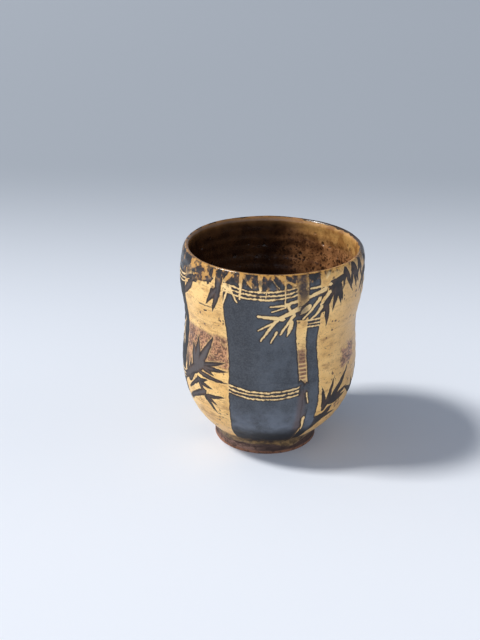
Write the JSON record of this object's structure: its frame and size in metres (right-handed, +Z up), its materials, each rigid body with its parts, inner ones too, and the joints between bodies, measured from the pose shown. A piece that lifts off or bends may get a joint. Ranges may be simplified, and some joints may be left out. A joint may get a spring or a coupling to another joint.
{
  "type": "teacup",
  "caption": "Tall stoneware teacup without a handle: full belly, gripping waist, rounded lip and low foot ring, glazed gold and slate with a bamboo pattern.",
  "frame": {"origin": "centre of the bounding box's underside, where the foot ring stands on the table", "axes": "+Z up through the mouth, +X to the right and -Y towards a viewer who faces the broad painted stalk"},
  "size_m": [0.08, 0.08, 0.091],
  "materials": {
    "glaze": "satin gold-ochre glaze with slate-black painted areas, a glossy brown rim and inside, and a bare foot ring"
  },
  "bodies": {
    "root": {"cup": "glaze"}
  },
  "joints": []
}
